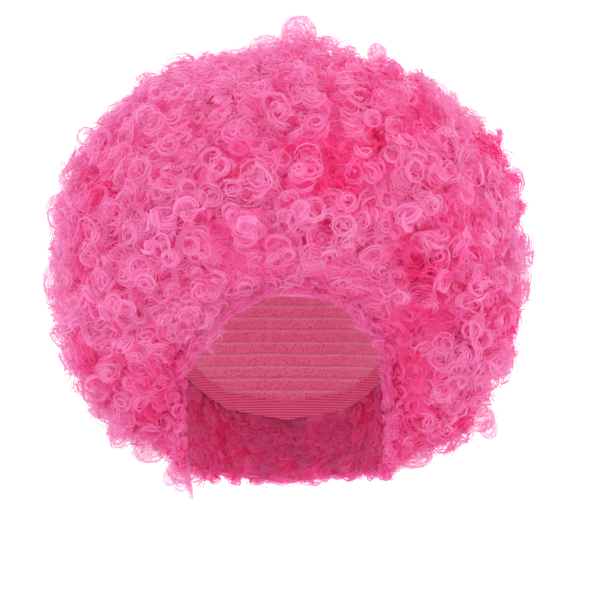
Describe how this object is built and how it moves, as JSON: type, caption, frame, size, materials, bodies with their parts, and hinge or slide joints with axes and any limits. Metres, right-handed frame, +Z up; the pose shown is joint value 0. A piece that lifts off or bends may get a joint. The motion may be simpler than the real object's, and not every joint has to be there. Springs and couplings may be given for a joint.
{
  "type": "clown wig",
  "caption": "Round afro party wig of tight bright pink curls, sewn on a stretch cap with an elastic edge band, open below and in front for the head.",
  "frame": {"origin": "inside of the cap's crown, where the top of the head bears", "axes": "+Z up, the face opening looks along -Y, +X is the wearer's left"},
  "size_m": [0.337, 0.3343, 0.3309],
  "materials": {
    "hair": "soft crimped fibre with a silky sheen",
    "cap_net": "fine knitted stretch net",
    "band_elastic": "ribbed elastic"
  },
  "bodies": {
    "root": {"wig_cap": "cap_net", "edge_band": "band_elastic", "hair_crown": "hair", "hair_fringe": "hair", "hair_left": "hair", "hair_right": "hair", "hair_back": "hair"}
  },
  "joints": []
}
